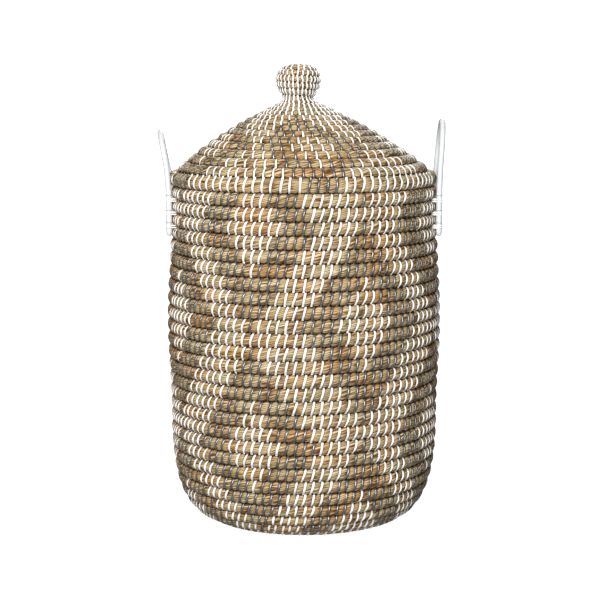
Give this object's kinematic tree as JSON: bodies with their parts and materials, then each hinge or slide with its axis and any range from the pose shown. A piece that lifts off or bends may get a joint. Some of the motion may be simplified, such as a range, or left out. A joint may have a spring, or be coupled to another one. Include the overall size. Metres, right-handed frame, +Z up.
{
  "type": "laundry hamper",
  "caption": "Tall round laundry hamper coiled from seagrass, with a lift-off cone lid, a coiled knob and two rope loop handles.",
  "frame": {"origin": "on the ground under the middle of the floor's coil", "axes": "+Z up along the hamper's axis, the front looks along -Y, and the handles are at +X and -X"},
  "size_m": [0.4271, 0.41, 0.6796],
  "materials": {
    "seagrass": "dried natural seagrass, matt to silky",
    "wrapped_rope": "rope wound closely with white plastic strip",
    "plastic_strip": "flat white strip"
  },
  "bodies": {
    "basket": {"floor_curl": "seagrass", "floor_coil": "seagrass", "heel_coil": "seagrass", "wall_coil": "seagrass", "left_front_leg": "wrapped_rope", "left_front_leg_lashing_1": "plastic_strip", "left_front_leg_lashing_2": "plastic_strip", "left_front_leg_lashing_3": "plastic_strip", "left_back_leg": "wrapped_rope", "left_back_leg_lashing_1": "plastic_strip", "left_back_leg_lashing_2": "plastic_strip", "left_back_leg_lashing_3": "plastic_strip", "right_front_leg": "wrapped_rope", "right_front_leg_lashing_1": "plastic_strip", "right_front_leg_lashing_2": "plastic_strip", "right_front_leg_lashing_3": "plastic_strip", "right_back_leg": "wrapped_rope", "right_back_leg_lashing_1": "plastic_strip", "right_back_leg_lashing_2": "plastic_strip", "right_back_leg_lashing_3": "plastic_strip"},
    "lid": {"knob_coil": "seagrass", "cone_coil": "seagrass", "lid_hoop": "seagrass", "lid_collar": "seagrass"},
    "left_handle": {"left_loop": "wrapped_rope"},
    "right_handle": {"right_loop": "wrapped_rope"}
  },
  "joints": [
    {"name": "lid_lift", "type": "slide", "parent": "basket", "child": "lid", "axis": [0, 0, 1], "range_m": [0, 0.25]},
    {"name": "left_handle_bend", "type": "hinge", "parent": "basket", "child": "left_handle", "pos_m": [-0.19778, 0, 0.492], "axis": [0, -1, 0], "range_deg": [0, 40], "stiffness_Nm_per_rad": 0.3},
    {"name": "right_handle_bend", "type": "hinge", "parent": "basket", "child": "right_handle", "pos_m": [0.19778, 0, 0.492], "axis": [0, 1, 0], "range_deg": [0, 40], "stiffness_Nm_per_rad": 0.3}
  ]
}
